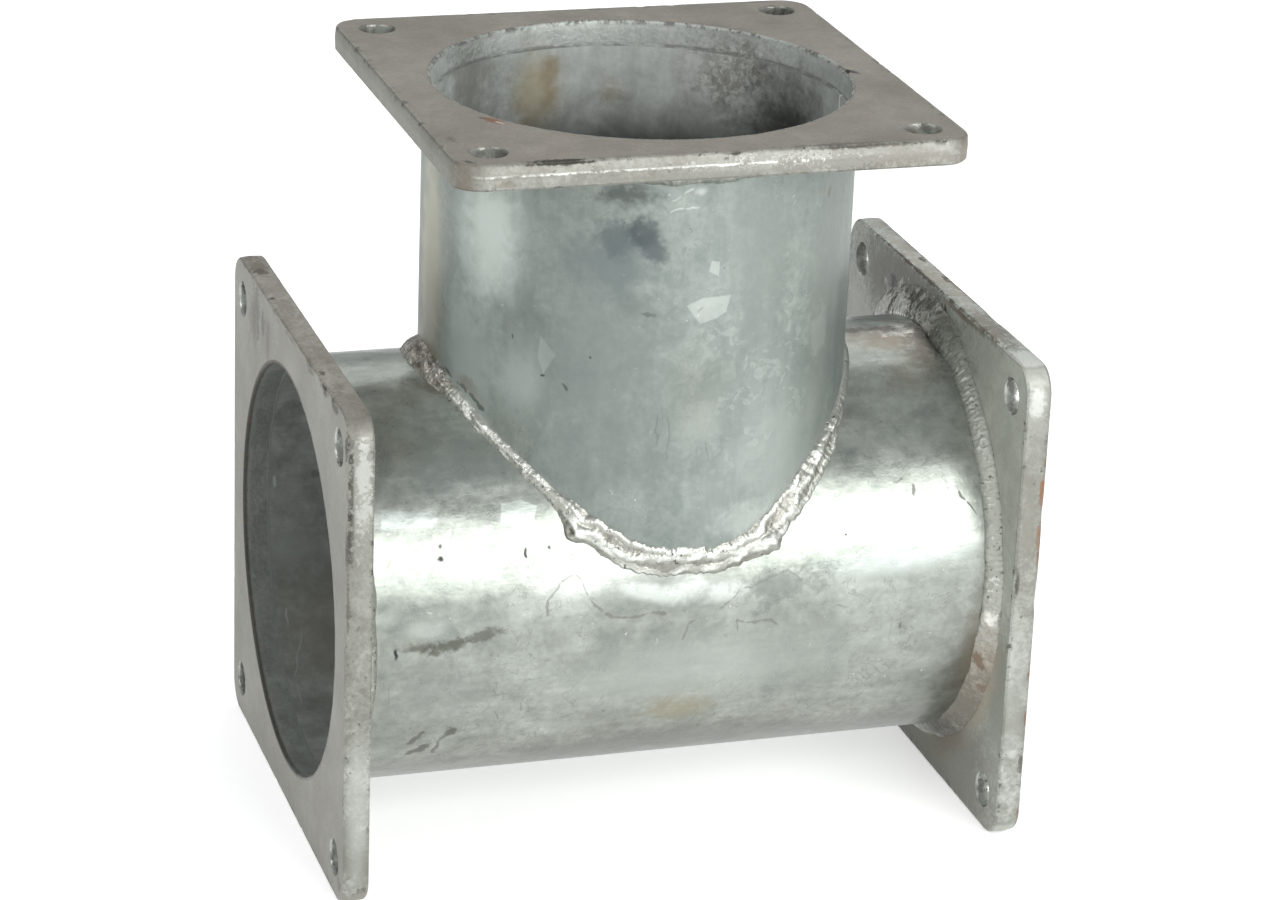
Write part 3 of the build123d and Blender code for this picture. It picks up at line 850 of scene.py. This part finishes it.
def makePlateFinish(side):
    zinc, look, lying = Finish(side + "PlateZinc"), plateLook[side], side == "branch"
    spot = zinc.millimetres()
    x, y, z = zinc.split(spot)
    if lying:
        first, second, up, high = x, y, y, z - tee["branchEnd"]
    else:
        first, second, up, high = y, z, z - tee["axis"], abs(x) - tee["runEnd"]
    edge = zinc.sum("MAXIMUM", abs(first), abs(up))
    rim = zinc.length(first, up)
    big = zinc.cloud(spot, 34, 3, 0.55)
    mid = zinc.cloud(spot, 8, 4, 0.65, 0.5)
    fine = zinc.cloud(spot, 1.5, 2, 0.6)
    light = 0.4 * big + 0.38 * mid + 0.22 * fine
    tint = (light - 0.5) * 1.3 + 0.5
    zinc.colour = zinc.mottle(tint, look["base"], 0.18, 17)
    face = zinc.between(high, *zones["face"])
    if side == "right":  # its outer face is as dull as the left plate's, and its marks are on its back
        zinc.coat(face, zinc.mottle(tint, plateLook["left"]["base"], 0.18, 17))
        face = zinc.between(high, *zones["back"])
    zinc.ragged = (mid - 0.5) * 1.4 + (fine - 0.5) * 1.2
    zinc.gloss = 0.4 + 0.24 * mid
    zinc.crud = zinc.flaky(spot, *look["crud"])
    zinc.stains(zinc.join(first, second), look["marks"], face)
    wall = zinc.between(edge + zinc.ragged * 0.7, *zones["wall"])  # the outer edge, rubbed brighter
    rubbed = zinc.ramp((light - 0.5) * (2.2 if lying else 3) + 0.5,
                       (0.25, (120, 120, 112)), (0.5, (164, 167, 160)), (0.75, (206, 209, 203)))
    if lying:
        above = 0
        rubbed = zinc.blend(zinc.between(first, -98, -99.2, 0.55, 0.8), rubbed, (130, 128, 119))
    else:
        above = zinc.between(up, *zones["top"])
        rubbed = zinc.blend(zinc.between(second, 40, 150, 0.3, 0.75) * (1 - above), rubbed, (126, 125, 116))
    zinc.coat(wall * 0.85, rubbed)
    arris = zinc.between(abs(high - 5), 2.6, 4.4) * zinc.between(edge, 95.5, 98.6)
    chips = zinc.between(zinc.cloud(spot, 5.5, 5, 0.78), 0.54, 0.62) * zinc.between(big, 0.4, 0.56)
    zinc.coat(chips * arris * (0.8 - above * 0.6), (66, 63, 55))
    pits = zinc.between(zinc.cloud(spot, 2.8, 3, 0.7), 0.66, 0.71) * zinc.between(edge, 97, 99)
    zinc.coat(pits * 0.7, (74, 72, 65))
    if lying:  # painted highlight: a bright ridge along the near edge
        ridgeHighlight = zinc.between(abs(high - 5.5 + zinc.ragged * 0.9), 0.6, 0.2)
        ridgeHighlight = ridgeHighlight * zinc.between(second, -98.6, -99.3) * zinc.between(first, 72, 20)
        zinc.coat(ridgeHighlight * zinc.between(light, 0.42, 0.56) * 0.85, (238, 240, 234))
    along, toward = (first, second) if lying else (second, first)
    near = zinc.between(toward, *zones["near"])  # the side that faces the camera
    zinc.stains(zinc.join(along, high), look["edges"], near)
    if not lying:
        zinc.stains(zinc.join(first, high), look["tops"], above)
    if side == "right":
        rust = zinc.between(high, 8, 9.6) * zinc.between(first, -97.8, -99)
        rust = rust * zinc.between(zinc.cloud(spot, 15, 4, 0.65), 0.5, 0.6)
        zinc.coat(rust * 0.8, (118, 86, 58))
    bored, deep = zinc.between(rim, *zones["bore"]), look["bore"]  # the bore's wall, like the inside of the pipe
    zinc.coat(bored, zinc.mottle(tint, (deep, deep + 4, deep - 1), 0.18, 18))
    if lying:
        unrolled = zinc.join(zinc.unroll(x, y), z)
        zinc.stains(unrolled, branchLook["inner"], bored)
    if side == "left":  # a dark line on the far half of the rim
        line = zinc.between(abs(rim - 81.6), 1.5, 0.8) * zinc.between(high, 8, 9.2) * zinc.between(first, -50, 10)
        zinc.coat(line * 0.85, zinc.ramp(mid, (0.45, (46, 42, 36)), (0.65, (92, 66, 44))))
    grime = zinc.between(rim, 83.2, 81.8) * zinc.between(high, 7.2, 9.6) * zinc.between(mid * 0.7 + fine * 0.5, 0.54, 0.7)
    zinc.coat(grime * 0.75, (62, 60, 54))  # dirt on the bore's rim
    seam = zinc.between(high, 1.5, 0.3) * bored * zinc.between(mid, 0.36, 0.56)
    zinc.coat(seam * (0.5 if lying else 0.05), (60, 60, 55))
    drilled = zinc.length(abs(first) - plate["spread"], abs(up) - plate["spread"])
    drilled = zinc.between(drilled + zinc.ragged * 0.5, *zones["hole"])
    if lying:
        holes = zinc.ramp(mid, (0.35, (84, 85, 79)), (0.65, (168, 170, 163)))
    else:
        holes = zinc.ramp(mid, (0.35, (120, 122, 116)), (0.6, (214, 217, 212)))
    zinc.coat(drilled * 0.9, holes)
    metal = look["metal"] + drilled * (0 if lying else 0.45)
    return zinc.wear(metal, zinc.gloss - drilled * 0.22, 0.5 * mid + 0.2 * fine + 0.3 * big, 0.7)


# Zinc over the beads: dark hollows, the middle and bright crests, so painted shade in the hollows and painted
# highlights on the crests
beadLook = {
    "saddle": {"shades": ((128, 126, 118), (176, 177, 169), (236, 239, 233)), "metal": 0.8, "crud": (2.4, 246)},
    "left": {"shades": ((96, 94, 86), (168, 170, 162), (216, 219, 212)), "metal": 0.8, "crud": (3.6, 246), "marks": []},
    "right": {"shades": ((92, 88, 80), (180, 181, 173), (240, 242, 236)), "metal": 0.55, "crud": (3.6, 246)},
}
beadLook["saddle"]["marks"] = [
    mark(-84, 187, 11, 8, (160, 150, 136), 0.8, 0.8),
    mark(-84, 187, 9, 7, "crud", 0.5, 1, 0.5),
    mark(-80, 186, 9, 3, (70, 67, 60), 0.5, 2.4, 0.4, turn=-25),
    mark(-76, 182, 9, 2.6, (168, 160, 148), 0.6, 1.4, turn=-42),
    mark(-68, 172, 22, 7, (226, 228, 222), 0.5, 1.6, 0.5, turn=-45),
    mark(-70, 177, 3, 3, (244, 245, 240), 0.8, 0.9),
]
beadLook["right"]["marks"] = [
    mark(20, 188, 66, 20, (112, 109, 100), 0.8),
    mark(-87, 92, 4.5, 5, (246, 244, 238), 0.9, 0.6),
    *crust,
    mark(-80, 62, 22, 33, (152, 142, 128), 0.8, 0.9, turn=20),
    mark(-78, 60, 14, 22, "crud", 0.3, 1, 0.8, turn=20),
    mark(-64, 44, 40, 20, (116, 110, 99), 0.85, 0.6, 0.8, turn=-40),
    mark(-82, 72, 2.2, 5, (112, 90, 70), 0.75, 1.1),
    mark(-79, 58, 3, 4, (122, 102, 82), 0.65, 1.2),
    # painted shadow under the run pipe, where it meets the ring
    mark(-44, 27, 26, 10, (52, 48, 40), 0.8, 0.6, 0.8, turn=-30),
]
beadLook["branch"] = beadLook["left"]


def makeBeadFinish(name):
    zinc, look = Finish(name + "BeadZinc"), beadLook[name]
    spot = zinc.millimetres()
    x, y, z = zinc.split(spot)
    crest = zinc.node("ShaderNodeAttribute", {"attribute_name": "crest"}, output=2)
    mid = zinc.cloud(spot, 5, 4, 0.65)
    fine = zinc.cloud(spot, 1.2, 3, 0.65)
    # the painted light and shade from the bead's shape sets the colour, with noise
    light = 0.55 * crest + 0.3 * mid + 0.25 * fine
    low, middle, top = look["shades"]
    zinc.colour = zinc.ramp(light, (0.2, low), (0.42, middle), (0.62, middle), (0.85, top))
    pits = zinc.between(zinc.cloud(spot, 2.6, 2, 0.7), 0.64, 0.7)
    zinc.coat(pits * 0.8, (58, 56, 50))
    zinc.ragged = (mid - 0.5) * 1.4 + (fine - 0.5) * 1.2
    flat = zinc.join(x if name == "saddle" else y, z)
    zinc.crud = zinc.flaky(spot, *look["crud"])
    zinc.gloss = 0.24 + 0.24 * mid
    zinc.stains(flat, look["marks"], 1)
    return zinc.wear(look["metal"], zinc.gloss, 0.6 * fine + 0.4 * mid, 0.5)


def dress(thing, coat):
    thing.data.materials.clear()
    thing.data.materials.append(coat)


dress(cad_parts["branch_pipe"], makePipeFinish("branchZinc", branchLook, True))
dress(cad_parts["run_pipe"], makePipeFinish("runZinc", runLook, False))
for side, piece in plates.items():
    dress(piece, makePlateFinish(side))
dress(saddleBead, makeBeadFinish("saddle"))
for side, piece in rings.items():
    dress(piece, makeBeadFinish(side))
print("finishes laid")
